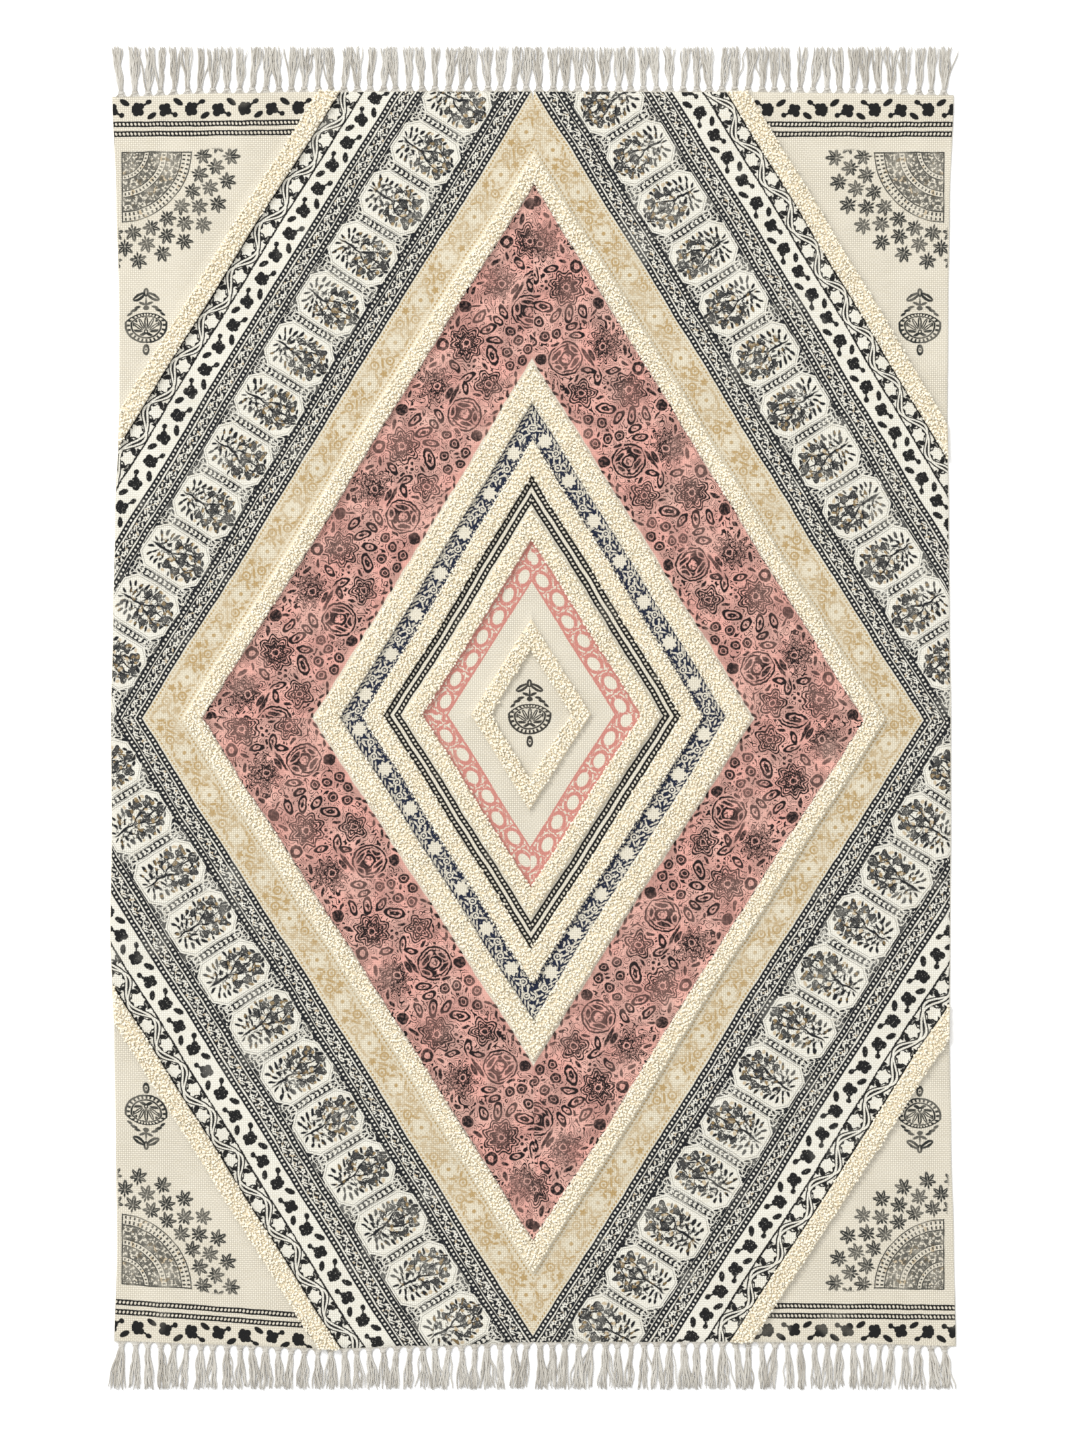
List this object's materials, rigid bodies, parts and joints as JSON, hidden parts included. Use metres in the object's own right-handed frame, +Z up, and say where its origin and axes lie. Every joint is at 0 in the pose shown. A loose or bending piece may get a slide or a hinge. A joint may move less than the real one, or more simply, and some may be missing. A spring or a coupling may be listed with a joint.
{
  "type": "dhurrie rug",
  "caption": "Flat printed cotton dhurrie rug with raised pile diamonds, corner pile bands and a knotted fringe along both ends.",
  "frame": {"origin": "middle of the rug's footprint, fringes included, on the underside that lies on the floor", "axes": "+X across the rug, +Y along its length to the top end, +Z up out of the pile"},
  "size_m": [1.218, 1.936, 0.011],
  "materials": {
    "printed_cotton": "matte",
    "pile_yarn": "matte",
    "fringe_yarn": "matte"
  },
  "bodies": {
    "root": {"rug": "printed_cotton", "fringe_top": "fringe_yarn", "fringe_bottom": "fringe_yarn"}
  },
  "joints": []
}
